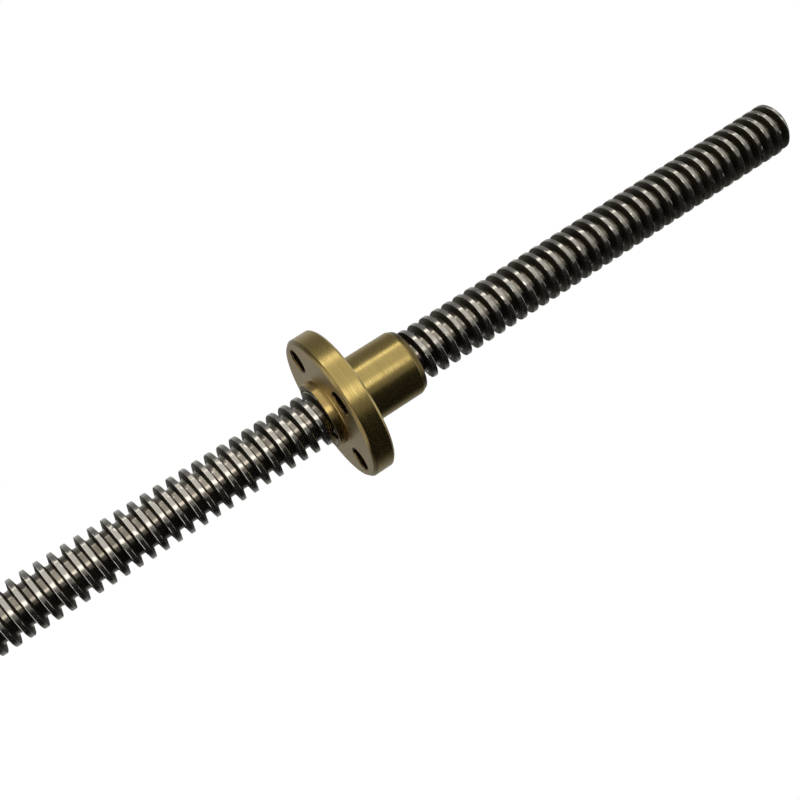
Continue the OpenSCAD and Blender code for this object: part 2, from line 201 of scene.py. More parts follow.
def octagon(inset):
    """Outline of the square motor with its corners cut and every edge rounded a little."""
    turn, steps = 45, 4
    half = HALF_W - inset
    flat = CORNER_FLAT - inset
    cut = 2 * half - math.sqrt(2) * flat
    corners = []
    for quarter in range(4):
        for x, y in ((half, half - cut), (half - cut, half)):
            a = quarter * math.pi / 2
            corners.append((x * math.cos(a) - y * math.sin(a), x * math.sin(a) + y * math.cos(a)))
    points = []
    pull = CORNER_ROUND * math.tan(math.radians(turn / 2))
    for i, (x, y) in enumerate(corners):
        here = Vector((x, y))
        before = (Vector(corners[i - 1]) - here).normalized()
        after = (Vector(corners[(i + 1) % len(corners)]) - here).normalized()
        centre = here + (before + after).normalized() * math.hypot(CORNER_ROUND, pull)
        start = here + before * pull - centre
        a0 = math.degrees(math.atan2(start.y, start.x))
        points += arc(centre.x, centre.y, CORNER_ROUND, a0, a0 + turn, steps)
    return points


def prism(name, levels):
    """Solid stack of motor outlines at (height, inset) levels."""
    rings = [[(x, y, z) for x, y in octagon(inset)] for z, inset in levels]
    size = len(rings[0])
    verts = [p for ring in rings for p in ring]
    faces = [list(range(size))[::-1], [size * (len(rings) - 1) + i for i in range(size)]]
    for k in range(len(rings) - 1):
        for i in range(size):
            j = (i + 1) % size
            faces.append([k * size + i, k * size + j, (k + 1) * size + j, (k + 1) * size + i])
    return mesh_object(name, verts, faces)


def box_object(name, low, high):
    """Box between two opposite corners."""
    verts = [
        (x, y, z) for x in (low[0], high[0]) for y in (low[1], high[1]) for z in (low[2], high[2])
    ]
    faces = [(0, 1, 3, 2), (4, 6, 7, 5), (0, 4, 5, 1), (2, 3, 7, 6), (0, 2, 6, 4), (1, 5, 7, 3)]
    return mesh_object(name, verts, faces)


def joined(name, objects):
    """One object holding the meshes of several."""
    bm = bmesh.new()
    for obj in objects:
        bm.from_mesh(obj.data)
        bpy.data.objects.remove(obj)
    mesh = bpy.data.meshes.new(name)
    bm.to_mesh(mesh)
    bm.free()
    result = bpy.data.objects.new(name, mesh)
    bpy.context.scene.collection.objects.link(result)
    return result


def node_copy(node, name, width):
    """A copy of a CAD node's mesh with its flat faces joined and its edges rounded by a width."""
    mesh = frame["nodes"][node].data.copy()
    mesh.name = name
    mesh.materials.clear()
    obj = bpy.data.objects.new(name, mesh)
    bpy.context.scene.collection.objects.link(obj)
    bm = bmesh.new()
    bm.from_mesh(mesh)
    bmesh.ops.remove_doubles(bm, verts=bm.verts, dist=2e-7)
    bmesh.ops.dissolve_limit(bm, angle_limit=math.radians(1), verts=bm.verts, edges=bm.edges)
    bm.to_mesh(mesh)
    bm.free()
    bevel(obj, width)
    soften(obj)
    return obj


# ---------------------------------------------------------------- threads
def thread_outline():
    """One pitch of the thread as (height, radius) points, from mid-crest to the next mid-crest."""
    half = [
        (0.0, SCREW_R),
        (CREST_HALF - 0.06, SCREW_R),
        (CREST_HALF, SCREW_R - 0.04),
        (CREST_HALF + 0.05, SCREW_R - 0.22),
        (PITCH / 2 - ROOT_HALF - 0.03, ROOT_R + 0.2),
        (PITCH / 2 - ROOT_HALF + 0.06, ROOT_R + 0.02),
    ]
    return half + [(PITCH / 2, ROOT_R)] + [(PITCH - h, r) for h, r in half[:0:-1]]


def outline_radius(outline, height):
    """Radius of the thread outline at a height, by straight lines between its points."""
    h = height % PITCH
    points = outline + [(PITCH, outline[0][1])]
    for (h0, r0), (h1, r1) in zip(points, points[1:]):
        if h <= h1:
            return r0 + (r1 - r0) * (h - h0) / max(h1 - h0, 1e-9)
    return points[-1][1]


def thread_surface(outline, low, high, phase, segments, limit, rough=0.0, seed=1):
    """Right-handed helical surface between two heights, as points and faces.

    limit(radius, height) shapes the ends. The rows that would pass an end are gathered on it, where
    clean() merges them. The crest's edges are uneven by the rough depth, and the rest much less.
    """
    rng = random.Random(seed)
    per_turn = len(outline)
    crest_edges, elsewhere = (2, per_turn - 2), 0.1
    first = math.floor((low - phase) / PITCH) - 2
    last = math.ceil((high - phase) / PITCH) + 2
    rows = (last - first) * per_turn
    verts, index = [], {}
    for s in range(segments):
        a = TAU * s / segments
        lift = PITCH * s / segments
        for row in range(rows):
            turn, k = divmod(row, per_turn)
            z = phase + (first + turn) * PITCH + lift + outline[k][0]
            r = outline[k][1]
            if z <= low or z >= high:
                z = min(max(z, low), high)
                r = outline_radius(outline, z - phase - lift)
            elif rough:
                r += rng.uniform(-rough, rough) * (1.0 if k in crest_edges else elsewhere)
            r = limit(r, z)
            index[s, row] = len(verts)
            verts.append((r * math.cos(a), r * math.sin(a), z))
    faces = []
    for s in range(segments):
        across, shift = (s + 1, 0) if s + 1 < segments else (0, per_turn)
        for row in range(rows - per_turn - 1):
            faces.append((
                index[s, row],
                index[across, row + shift],
                index[across, row + shift + 1],
                index[s, row + 1],
            ))
    return verts, faces


def add(verts, faces, more_verts, more_faces):
    """Appends one mesh's lists to another's."""
    start = len(verts)
    verts += more_verts
    faces += [tuple(start + i for i in face) for face in more_faces]


def build_screw():
    """Screw and motor shaft: plain journal, shoulder, thread run-out, thread and cut end."""
    outline = thread_outline()
    chamfer = 0.45

    def limit(r, z):
        cut_share = min(max((z - THREAD_START) / RUN_OUT, 0.0), 1.0)
        r = SCREW_R - (SCREW_R - r) * cut_share
        return min(r, SCREW_R - chamfer + (SCREW_END - z))

    verts, faces = thread_surface(
        outline, THREAD_START, SCREW_END, THREAD_PHASE, SCREW_SEGMENTS, limit, rough=0.014, seed=4
    )
    shaft = [
        (0.0, SHAFT_END + 0.2), (0.5, SHAFT_END),
        (JOURNAL_R - 0.3, SHAFT_END), (JOURNAL_R, SHAFT_END + 0.3),
        (JOURNAL_R, JOURNAL_TOP), (SHOULDER_R - 0.15, JOURNAL_TOP), (SHOULDER_R, JOURNAL_TOP + 0.15),
        (SHOULDER_R, 1.5), (SHOULDER_R + 0.15, 1.65), (SCREW_R, 1.8), (SCREW_R, THREAD_START),
    ]
    add(verts, faces, *revolve(shaft, SCREW_SEGMENTS, closed=False))
    add(verts, faces, *screw_cap(outline, limit))
    return mesh_object("threaded_screw", verts, faces, sharp=THREAD_ANGLE)


def screw_cap(outline, limit):
    """Flat end of the screw, whose rim follows the thread where it is cut."""
    shares = (0.35, 0.7, 1.0)
    verts, faces = [(0.0, 0.0, SCREW_END)], []
    for share in shares:
        for s in range(SCREW_SEGMENTS):
            a = TAU * s / SCREW_SEGMENTS
            height = SCREW_END - THREAD_PHASE - PITCH * s / SCREW_SEGMENTS
            r = limit(outline_radius(outline, height), SCREW_END) * share
            verts.append((r * math.cos(a), r * math.sin(a), SCREW_END))
    for s in range(SCREW_SEGMENTS):
        t = (s + 1) % SCREW_SEGMENTS
        faces.append((0, 1 + s, 1 + t))
        for k in range(len(shares) - 1):
            low, high = 1 + k * SCREW_SEGMENTS, 1 + (k + 1) * SCREW_SEGMENTS
            faces.append((low + s, high + s, high + t, low + t))
    return verts, faces


def nut_thread_outline():
    """One pitch of the nut's thread, which clears the screw's on every side."""
    major, minor = SCREW_R + 0.08, ROOT_R + 0.3
    groove, land = 0.385, 0.28
    half = [
        (0.0, major), (groove, major), (groove + 0.06, major - 0.1),
        (PITCH / 2 - land, minor + 0.06), (PITCH / 2 - land + 0.08, minor),
    ]
    return half + [(PITCH / 2, minor)] + [(PITCH - h, r) for h, r in half[:0:-1]]


def build_nut():
    """Flanged nut with a threaded bore, turned edges and four drilled holes."""
    low, flange_top = NUT_Z - COLLAR_LEN, NUT_Z + FLANGE_T
    high = flange_top + NUT_BODY_LEN
    mouth_low, mouth_high = 4.55, 4.4
    fillet = NUT_BODY_R + 0.15

    def limit(r, z):
        return max(r, mouth_low - (z - low), mouth_high - (high - z))

    verts, faces = thread_surface(nut_thread_outline(), low, high, THREAD_PHASE, NUT_SEGMENTS, limit)
    outer = [
        (mouth_low, low), (NUT_BODY_R - 0.1, low), (NUT_BODY_R - 0.03, low + 0.03), (NUT_BODY_R, low + 0.1),
        (NUT_BODY_R, NUT_Z - 0.12), (NUT_BODY_R + 0.06, NUT_Z - 0.03), (fillet, NUT_Z),
        (FLANGE_R - 0.5, NUT_Z), (FLANGE_R - 0.42, NUT_Z + 0.03), (FLANGE_R - 0.05, NUT_Z + 0.4),
        (FLANGE_R, NUT_Z + 0.5), (FLANGE_R, flange_top - 0.4), (FLANGE_R - 0.05, flange_top - 0.32),
        (FLANGE_R - 0.32, flange_top - 0.06), (FLANGE_R - 0.4, flange_top), (fillet, flange_top),
        (NUT_BODY_R + 0.04, flange_top + 0.04), (NUT_BODY_R, flange_top + 0.16), (NUT_BODY_R, high - 0.95),
        (NUT_BODY_R - 0.04, high - 0.84), (NUT_BODY_R - 0.38, high - 0.08), (NUT_BODY_R - 0.46, high),
        (mouth_high, high),
    ]
    add(verts, faces, *revolve(outer, NUT_SEGMENTS, closed=False))
    nut = mesh_object("turned_nut", verts, faces, sharp=THREAD_ANGLE)
    chamfer = 0.25
    mouth_r = FLANGE_HOLE_R + chamfer
    hole = [
        (0.0, NUT_Z - PAST), (mouth_r + 0.15, NUT_Z - PAST), (mouth_r, NUT_Z - 0.05),
        (FLANGE_HOLE_R, NUT_Z + 0.2), (FLANGE_HOLE_R, flange_top - 0.2),
        (mouth_r, flange_top + 0.05), (mouth_r + 0.15, flange_top + PAST),
        (0.0, flange_top + PAST),
    ]
    cutters = []
    for i in range(FLANGE_HOLES):
        a = i * TAU / FLANGE_HOLES
        place = (FLANGE_HOLE_AT * math.cos(a), FLANGE_HOLE_AT * math.sin(a))
        cutters.append(lathe(f"hole{i}", hole, HOLE_SEGMENTS, at=place))
    boolean(nut, joined("holes", cutters))
    soften(nut, THREAD_ANGLE)
    return nut


# ---------------------------------------------------------------- motor shell
def corner_points():
    """Centres of the four corner holes."""
    return [(x, y) for x in (-BOLT_AT, BOLT_AT) for y in (-BOLT_AT, BOLT_AT)]


def build_front_bell():
    """Cast bell with a machined face, pilot, bearing seat and tapped corner holes."""
    bell = prism("front_bell", [
        (FRONT_BELL_Z, 0.12), (FRONT_BELL_Z + 0.12, 0.0),
        (FACE_Z - 0.45, 0.0), (FACE_Z - 0.2, 0.07), (FACE_Z - 0.05, 0.22), (FACE_Z, 0.42),
    ])
    boolean(bell, lathe("pilot", [
        (0.0, -PILOT_H), (PILOT_R, -PILOT_H), (PILOT_R, PILOT_H - 0.4), (PILOT_R - 0.1, PILOT_H - 0.2),
        (PILOT_R - 0.35, PILOT_H), (SCREW_OPENING_R + 0.6, PILOT_H), (SCREW_OPENING_R + 0.5, PILOT_H),
        (0.0, PILOT_H),
    ]), "UNION")
    inner_face, seat_top = -5.2, 0.5
    boolean(bell, lathe("inside", [
        (0.0, FRONT_BELL_Z - PAST), (CAVITY_R, FRONT_BELL_Z - PAST), (CAVITY_R, inner_face - 0.3),
        (CAVITY_R - 0.3, inner_face), (SEAT_R + 0.3, inner_face), (SEAT_R, inner_face + 0.3),
        (SEAT_R, seat_top), (SCREW_OPENING_R + 0.25, seat_top), (SCREW_OPENING_R, seat_top + 0.2),
        (SCREW_OPENING_R, PILOT_H - 0.3), (SCREW_OPENING_R + 0.3, PILOT_H),
        (SCREW_OPENING_R + 0.4, PILOT_H + PAST), (0.0, PILOT_H + PAST),
    ]))
    boolean(bell, lathe("relief", [
        (PILOT_R, FACE_Z), (PILOT_R, FACE_Z - 0.12), (PILOT_R + 0.12, FACE_Z - 0.2),
        (PILOT_R + 0.45, FACE_Z - 0.2), (PILOT_R + 0.6, FACE_Z), (PILOT_R + 0.7, FACE_Z + 0.5),
        (PILOT_R, FACE_Z + 0.5),
    ]))
    clear = [
        (0, FRONT_BELL_Z - PAST), (BOLT_HOLE_R, FRONT_BELL_Z - PAST), (BOLT_HOLE_R, inner_face),
        (BOLT_HOLE_R - 0.3, inner_face + 0.2), (0, inner_face + 0.2),
    ]
    holes = []
    for place in corner_points():
        holes.append(lathe("tapped", thread_cutter(), 40, at=place))
        holes.append(lathe("clear", clear, 32, at=place))
    boolean(bell, joined("corner_holes", holes))
    soften(bell)
    return bell


def thread_cutter():
    """Ring-grooved cutter for a tapped M3 hole with a countersunk mouth."""
    bottom, root_r, pitch = -4.5, TAP_R - 0.2, 0.5
    profile = [(0.0, bottom), (root_r - 0.05, bottom + 0.1)]
    z = bottom + 0.2
    while z < FACE_Z - 0.75:
        profile += [(root_r, z), (TAP_R, z + 0.2), (TAP_R, z + 0.26), (root_r, z + 0.46)]
        z += pitch
    return profile + [
        (TAP_R, FACE_Z - 0.35), (TAP_R, FACE_Z - 0.3), (TAP_R + 0.35, FACE_Z + 0.05),
        (TAP_R + 0.4, FACE_Z + PAST), (0.0, FACE_Z + PAST),
    ]


def build_rear_bell():
    """Cast bell with a bearing boss, socket notch and counterbores for the long screws."""
    bell = prism("rear_bell", [
        (REAR_FACE_Z, 0.6), (REAR_FACE_Z + 0.08, 0.3), (REAR_FACE_Z + 0.3, 0.08), (REAR_FACE_Z + 0.6, 0.0),
        (REAR_BELL_Z - 0.12, 0.0), (REAR_BELL_Z, 0.12),
    ])
    bell_top, cavity_floor = REAR_BELL_Z + PAST, REAR_FACE_Z + 2.0
    boolean(bell, lathe("cavity", [
        (BOSS_R, cavity_floor), (CAVITY_R - 0.3, cavity_floor), (CAVITY_R, cavity_floor + 0.3),
        (CAVITY_R, bell_top), (BOSS_R, bell_top),
    ]))
    seat_floor, boss_top = REAR_FACE_Z + 1.4, -32.8
    boolean(bell, lathe("core", [
        (0.0, REAR_FACE_Z - PAST), (REAR_OPENING_R + 0.4, REAR_FACE_Z - PAST),
        (REAR_OPENING_R + 0.3, REAR_FACE_Z), (REAR_OPENING_R, REAR_FACE_Z + 0.3),
        (REAR_OPENING_R, seat_floor),
        (SEAT_R, seat_floor), (SEAT_R, boss_top - 0.3), (SEAT_R + 0.3, boss_top), (BOSS_R + 0.7, boss_top),
        (BOSS_R + 0.7, bell_top), (0.0, bell_top),
    ]))
    ring_in, ring_out, ring_depth = 12.6, 13.4, 0.25
    boolean(bell, lathe("rear_relief", [
        (ring_in, REAR_FACE_Z - PAST), (ring_out, REAR_FACE_Z - PAST), (ring_out, REAR_FACE_Z),
        (ring_out - 0.15, REAR_FACE_Z + ring_depth), (ring_in + 0.15, REAR_FACE_Z + ring_depth),
        (ring_in, REAR_FACE_Z),
    ]))
    notch_half, notch_floor = 8.15, -37.55
    boolean(bell, box_object("notch", (-notch_half, -23.0, notch_floor), (notch_half, -15.6, bell_top)))
    counterbore = [
        (0, REAR_FACE_Z - PAST), (COUNTERBORE_R + 0.15, REAR_FACE_Z - PAST),
        (COUNTERBORE_R + 0.15, REAR_FACE_Z), (COUNTERBORE_R, REAR_FACE_Z + 0.15),
        (COUNTERBORE_R, HEAD_SEAT_Z),
        (BOLT_HOLE_R, HEAD_SEAT_Z), (BOLT_HOLE_R, bell_top), (0, bell_top),
    ]
    holes = [lathe("counterbore", counterbore, HOLE_SEGMENTS, at=place) for place in corner_points()]
    boolean(bell, joined("rear_holes", holes))
    soften(bell)
    return bell


def stator_inner():
    """Inner outline of the stack: yoke, eight poles and their small teeth."""
    bore, shoe, yoke = 11.05, 13.0, 18.2
    half_pole, gap_half, gap_depth = 2.2, 0.34, 0.6
    shoe_half, shoe_bend, yoke_steps = 19.4, 14.5, 6
    yoke_at = math.degrees(math.asin(half_pole / yoke))
    neck_at = math.degrees(math.asin(half_pole / shoe))
    edge = math.degrees(math.asin(gap_half / bore))
    deep = math.degrees(math.asin(gap_half / (bore + gap_depth)))
    span = 360 / POLES
    outline = []
    for pole in range(POLES):
        mid = span * pole
        outline += [
            (yoke, mid - yoke_at), (shoe, mid - neck_at), (shoe, mid - shoe_bend),
            (shoe, mid - shoe_half), (bore, mid - shoe_half),
        ]
        for gap in range(TEETH - 1):
            centre = mid + (gap - (TEETH - 2) / 2) * TOOTH_PITCH
            outline += [
                (bore, centre - edge), (bore + gap_depth, centre - deep),
                (bore + gap_depth, centre + deep), (bore, centre + edge),
            ]
        outline += [
            (bore, mid + shoe_half), (shoe, mid + shoe_half), (shoe, mid + shoe_bend),
            (shoe, mid + neck_at), (yoke, mid + yoke_at),
        ]
        for step in range(1, yoke_steps):
            outline.append((yoke, mid + yoke_at + (span - 2 * yoke_at) * step / yoke_steps))
    return [(r * math.cos(math.radians(a)), r * math.sin(math.radians(a))) for r, a in outline]


def build_stator():
    """Stack of punched sheets, each a little in or out of line with the next."""
    rng = random.Random(11)
    jitter, groove, burr = 0.05, 0.07, 0.06
    thick = (FRONT_BELL_Z - REAR_BELL_Z) / SHEETS
    levels = []
    for k in range(SHEETS):
        z = REAR_BELL_Z + k * thick
        out = SHEET_INSET + rng.uniform(0.0, jitter)
        levels += [(z, out + groove), (z + burr, out), (z + thick - burr, out), (z + thick, out + groove)]
    verts, faces = [], []
    for z, inset in levels:
        verts += [(x, y, z) for x, y in octagon(inset)]
    size = len(octagon(SHEET_INSET))
    for k in range(len(levels) - 1):
        for i in range(size):
            j = (i + 1) % size
            a, b = k * size, (k + 1) * size
            faces.append((a + i, a + j, b + j, b + i))
    openings = [stator_inner()]
    for x, y in corner_points():
        openings.append(arc(x, y, BOLT_HOLE_R, 0, 345, 23))
    ends = []
    for z, inset in (levels[0], levels[-1]):
        loops = [octagon(inset)] + openings
        start = len(verts)
        for loop in loops:
            verts += [(x, y, z) for x, y in loop]
        triangles = tessellate_polygon([[Vector((x, y, 0)) for x, y in loop] for loop in loops])
        faces += [tuple(start + i for i in t) for t in triangles]
        ends.append(start)
    offset = size
    for loop in openings:
        for i in range(len(loop)):
            j = (i + 1) % len(loop)
            a, b = ends[0] + offset, ends[1] + offset
            faces.append((a + i, a + j, b + j, b + i))
        offset += len(loop)
    return mesh_object("stator_sheets", verts, faces, sharp=25)


def build_bolts():
    """Four long pan-head screws with cross recesses and a threaded tip."""
    pitch, root_r, thread_from, thread_to, tip_z = 0.5, BOLT_R - 0.25, -12.0, -6.2, -5.4
    slot_half_len, slot_half_w, slot_floor, turn_each = 1.45, 0.3, -38.5, 17
    head = [
        (0.0, -39.8), (1.2, -39.78), (2.1, -39.55), (2.55, -39.15), (2.72, -38.7), (HEAD_R, -38.3),
        (HEAD_R, HEAD_SEAT_Z - 0.15), (HEAD_R - 0.07, HEAD_SEAT_Z),
    ]
    shank = [(BOLT_R, HEAD_SEAT_Z), (BOLT_R, thread_from)]
    z = thread_from
    while z < thread_to:
        shank += [(root_r, z + 0.22), (root_r, z + 0.28), (BOLT_R, z + 0.46), (BOLT_R, z + 0.5)]
        z += pitch
    shank += [(BOLT_R - 0.35, tip_z), (0.0, tip_z)]
    made = []
    for i, (x, y) in enumerate(corner_points()):
        bolt = lathe("bolt", head + shank, HOLE_SEGMENTS, at=(x, y))
        for turn in (0, 90):
            slot = box_object(
                "slot",
                (-slot_half_len, -slot_half_w, REAR_FACE_Z - PAST),
                (slot_half_len, slot_half_w, slot_floor),
            )
            slot.data.transform(Matrix.Rotation(math.radians(turn + turn_each * i), 4, "Z"))
            slot.data.transform(Matrix.Translation((x * MM, y * MM, 0)))
            boolean(bolt, slot)
        made.append(bolt)
    bolts = joined("long_screws", made)
    soften(bolts)
    return bolts


def build_label():
    """Thin blank film with rounded corners on the side of the stack."""
    half_w, half_h, corner_r = 12.0, 6.5, 1.2
    inner, outer = HALF_W - 0.15, HALF_W - 0.05
    w, h = half_w - corner_r, half_h - corner_r
    outline = []
    for quarter, (cy, cz) in enumerate(((w, h), (-w, h), (-w, -h), (w, -h))):
        outline += arc(cy, cz, corner_r, quarter * 90, quarter * 90 + 90, 8)
    size = len(outline)
    verts = [(x, y, z + LABEL_MIDDLE_Z) for x in (inner, outer) for y, z in outline]
    faces = [list(range(size))[::-1], [size + i for i in range(size)]]
    faces += [(i, (i + 1) % size, size + (i + 1) % size, size + i) for i in range(size)]
    return mesh_object("label_film", verts, faces)


# ---------------------------------------------------------------- finishes
class Tree:
    """Short ways to build a material's nodes."""

    def __init__(self, name):
        self.mat = bpy.data.materials.new(name)
        self.mat.use_nodes = True
        self.nodes, self.links = self.mat.node_tree.nodes, self.mat.node_tree.links
        self.shader = self.nodes["Principled BSDF"]
        coords = self.nodes.new("ShaderNodeTexCoord")
        self.point = self.vector("SCALE", coords.outputs["Object"], scale=1 / MM)
        self.split = self.nodes.new("ShaderNodeSeparateXYZ")
        self.links.new(self.point, self.split.inputs[0])
        self.x, self.y, self.z = self.split.outputs

    def put(self, socket, value):
        """Links a socket or sets a value, and leaves the input alone when there is none."""
        if isinstance(value, bpy.types.NodeSocket):
            self.links.new(value, socket)
        elif value is not None:
            socket.default_value = value

    def math(self, operation, a, b=None):
        node = self.nodes.new("ShaderNodeMath")
        node.operation = operation
        self.put(node.inputs[0], a)
        self.put(node.inputs[1], b)
        return node.outputs[0]

    def times(self, a, b):
        return self.math("MULTIPLY", a, b)

    def plus(self, a, b):
        return self.math("ADD", a, b)

    def minus(self, a, b):
        return self.math("SUBTRACT", a, b)

    def most(self, a, b):
        return self.math("MAXIMUM", a, b)

    def least(self, a, b):
        return self.math("MINIMUM", a, b)

    def absolute(self, value):
        return self.math("ABSOLUTE", value)

    def grey(self, value):
        return self.combine(value, value, value)

    def vector(self, operation, a, b=None, scale=None):
        node = self.nodes.new("ShaderNodeVectorMath")
        node.operation = operation
        self.put(node.inputs[0], a)
        self.put(node.inputs[1], b)
        if scale is not None:
            node.inputs["Scale"].default_value = scale
        return node.outputs["Value"] if operation in ("LENGTH", "DOT_PRODUCT") else node.outputs[0]

    def combine(self, x, y, z):
        node = self.nodes.new("ShaderNodeCombineXYZ")
        for socket, value in zip(node.inputs, (x, y, z)):
            self.put(socket, value)
        return node.outputs[0]

    def radius(self):
        return self.vector("LENGTH", self.combine(self.x, self.y, 0.0))

    def azimuth(self):
        return self.math("ARCTAN2", self.y, self.x)

    def level(self):
        """1 where the surface faces along Z either way, 0 where it is upright."""
        normal = self.nodes.new("ShaderNodeNewGeometry").outputs["Normal"]
        return self.absolute(self.vector("DOT_PRODUCT", normal, (0.0, 0.0, 1.0)))

    def noise(self, scale, detail, rough, at=None):
        """Noise from 0 to 1, with scale in features per millimetre."""
        node = self.nodes.new("ShaderNodeTexNoise")
        self.put(node.inputs["Vector"], self.point if at is None else at)
        for name, value in (("Scale", scale), ("Detail", detail), ("Roughness", rough)):
            node.inputs[name].default_value = value
        return node.outputs[0]

    def drawn(self, detail, rough, stretch):
        """Noise with each axis scaled, so that its marks are long across the larger scales."""
        return self.noise(1.0, detail, rough, at=self.vector("MULTIPLY", self.point, stretch))

    def rings(self, step, detail, rough, third=0.0, scale=1.0):
        """Noise in rings round the axis, as a cutting tool leaves them."""
        at = self.combine(self.times(self.radius(), step), self.times(self.z, step), third)
        return self.noise(scale, detail, rough, at=at)

    def ramp(self, value, low, high, out_low=0.0, out_high=1.0):
        """Value from low to high taken smoothly to out_low to out_high."""
        node = self.nodes.new("ShaderNodeMapRange")
        node.interpolation_type = "SMOOTHSTEP"
        for socket, number in zip(node.inputs, (value, low, high, out_low, out_high)):
            self.put(socket, number)
        return node.outputs[0]

    def mix(self, share, a, b):
        node = self.nodes.new("ShaderNodeMix")
        node.data_type = "RGBA"
        self.put(node.inputs["Factor"], share)
        for socket, colour in zip((node.inputs[6], node.inputs[7]), (a, b)):
            self.put(socket, colour if isinstance(colour, bpy.types.NodeSocket) else (*colour, 1.0))
        return node.outputs[2]

    def bump(self, height, depth, normal=None):
        """Bump with its full height in millimetres."""
        node = self.nodes.new("ShaderNodeBump")
        node.inputs["Strength"].default_value = 1.0
        node.inputs["Distance"].default_value = depth * MM
        self.put(node.inputs["Height"], height)
        self.put(node.inputs["Normal"], normal)
        return node.outputs[0]

    def worn(self):
        """1 on outward edges, from the mesh's own shape."""
        pointed = self.nodes.new("ShaderNodeNewGeometry").outputs["Pointiness"]
        return self.ramp(pointed, 0.502, 0.56)

    def finish(self, colour, rough, metallic, normal, **rest):
        """Fills the shader's inputs and returns the material."""
        self.put(self.shader.inputs["Base Color"], colour)
        self.put(self.shader.inputs["Roughness"], rough)
        self.put(self.shader.inputs["Metallic"], metallic)
        self.put(self.shader.inputs["Normal"], normal)
        for name, value in rest.items():
            self.put(self.shader.inputs[name.replace("_", " ")], value)
        return self.mat


def lighter(colour, by):
    return tuple(min(1.0, share * by) for share in colour)


def screw_finish():
    """Dark oiled steel. The crests are rubbed bright and the flanks stay brown-black."""
    t = Tree("screw_steel")
    r = t.radius()
    brush_at = t.combine(t.times(t.azimuth(), 1.6), t.times(t.z, 9.0), r)
    brushed = t.noise(1.0, 6, 0.7, at=brush_at)
    blotch = t.noise(0.16, 3, 0.6)
    speck = t.noise(3.0, 3, 0.6)
    uneven = t.times(t.minus(speck, 0.5), 0.10)
    crest = t.ramp(t.plus(r, uneven), SCREW_R - 0.12, SCREW_R - 0.04)
    root = t.ramp(r, ROOT_R + 0.25, ROOT_R + 0.09)
    plain = t.ramp(t.z, THREAD_START - 0.4, THREAD_START - 0.8)
    flank_tone = t.mix(blotch, (0.075, 0.066, 0.047), (0.14, 0.124, 0.094))
    root_tone = t.mix(t.ramp(blotch, 0.3, 0.7), (0.21, 0.19, 0.154), (0.405, 0.365, 0.31))
    crest_tone = t.mix(brushed, (0.40, 0.375, 0.335), (0.66, 0.635, 0.58))
    plain_tone = t.mix(brushed, (0.42, 0.40, 0.385), (0.60, 0.58, 0.56))
    colour = t.mix(crest, t.mix(root, flank_tone, root_tone), crest_tone)
    colour = t.mix(plain, colour, plain_tone)
    flank = t.times(t.minus(1.0, crest), t.minus(1.0, root))
    rough = t.plus(t.times(brushed, 0.16), 0.12)
    rough = t.plus(rough, t.times(flank, 0.30))
    return t.finish(colour, rough, 1.0, t.bump(speck, 0.002, t.bump(brushed, 0.003)))


def brass_finish():
    """Satin turned brass, duller on its flat faces, with a painted highlight on its upper rim, a painted
    dark reflection on its lower rim's chamfer and painted shade in its bore and holes.
    """
    t = Tree("nut_brass")
    r, around, level = t.radius(), t.azimuth(), t.level()
    rings = t.rings(7.0, 5, 0.65, third=t.times(around, 0.35))
    coarse = t.rings(2.0, 2, 0.5, third=around, scale=0.35)
    blotch = t.noise(0.22, 4, 0.6)
    flat = t.ramp(level, 0.75, 0.95)
    side = t.mix(blotch, (0.43, 0.328, 0.112), (0.53, 0.412, 0.158))
    side = t.mix(t.ramp(rings, 0.35, 0.7), side, t.mix(0.5, side, (0.34, 0.24, 0.08)))
    face = t.mix(blotch, (0.345, 0.268, 0.136), (0.44, 0.348, 0.19))
    collar = t.times(t.ramp(t.z, NUT_Z + 0.15, NUT_Z), t.ramp(r, 5.6, 5.2))
    side = t.mix(collar, side, (0.48, 0.345, 0.13))
    colour = t.mix(flat, side, face)
    # painted highlight: the flange's upper rim is lightened in blotchy patches
    rim_painted_highlight = t.ramp(t.absolute(t.minus(t.z, NUT_Z + FLANGE_T)), 0.5, 0.2)
    rim_painted_highlight = t.times(rim_painted_highlight, t.ramp(r, FLANGE_R - 0.6, FLANGE_R - 0.3))
    rubbed = t.times(rim_painted_highlight, t.ramp(blotch, 0.35, 0.6, 0.2, 0.6))
    colour = t.mix(rubbed, colour, (0.60, 0.47, 0.20))
    # painted dark reflection: the lower rim's chamfer is darkened in blotchy patches
    low_rim = t.ramp(t.z, NUT_Z + 0.55, NUT_Z + 0.4)
    low_rim = t.times(low_rim, t.ramp(r, FLANGE_R - 0.5, FLANGE_R - 0.38))
    low_rim_painted_dark = t.times(low_rim, t.ramp(blotch, 0.35, 0.6, 0.6, 0.9))
    colour = t.mix(low_rim_painted_dark, colour, (0.17, 0.12, 0.05))
    # painted shade: everything inside the body radius, the threaded bore and its mouths, is darkened
    bore = t.times(t.ramp(r, NUT_BODY_R - 0.04, NUT_BODY_R - 0.16), 0.85)
    colour = t.mix(bore, colour, (0.10, 0.07, 0.03))
    # painted shade: the walls and mouth chamfers of the four flange holes are darkened
    across, along = t.absolute(t.x), t.absolute(t.y)
    past_hole = t.minus(t.most(across, along), FLANGE_HOLE_AT)
    from_hole = t.vector("LENGTH", t.combine(past_hole, t.least(across, along), 0.0))
    drilled = t.ramp(from_hole, FLANGE_HOLE_R + 0.33, FLANGE_HOLE_R + 0.27)
    drilled = t.times(drilled, t.ramp(level, 0.85, 0.75))
    colour = t.mix(drilled, colour, (0.13, 0.085, 0.035))
    rough = t.plus(t.ramp(rings, 0.25, 0.75, 0.19, 0.31), t.times(flat, 0.14))
    rough = t.plus(rough, t.times(t.minus(blotch, 0.5), 0.12))
    return t.finish(colour, rough, 1.0, t.bump(coarse, 0.0025, t.bump(rings, 0.003)))


